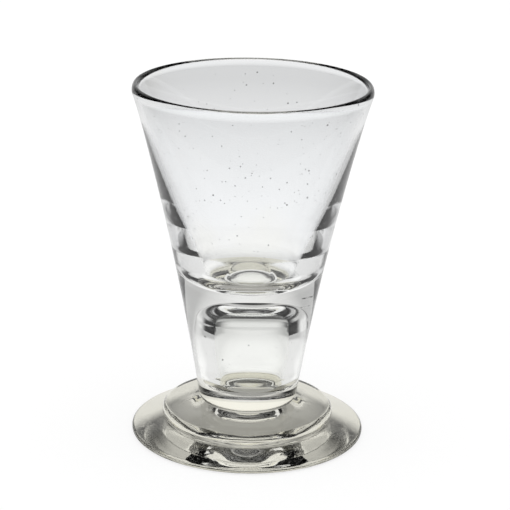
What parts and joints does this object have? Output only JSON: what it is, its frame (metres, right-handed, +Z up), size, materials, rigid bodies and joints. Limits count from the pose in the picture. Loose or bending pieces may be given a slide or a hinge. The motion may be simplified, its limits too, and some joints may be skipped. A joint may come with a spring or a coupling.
{
  "type": "schnapps glass",
  "caption": "Small clear schnapps glass: flared bowl with a heavy base, tapering stem with a trapped air bubble, round collar and broad low foot.",
  "frame": {"origin": "on the table, under the middle of the foot", "axes": "+Z up along the glass's own axis of turning; +X and +Y are alike, and the picture looks along +Y"},
  "size_m": [0.0586, 0.0586, 0.0899],
  "materials": {
    "clear_glass": "fire-polished, clear"
  },
  "bodies": {
    "root": {"foot": "clear_glass", "collar": "clear_glass", "stem": "clear_glass", "bowl": "clear_glass"}
  },
  "joints": []
}
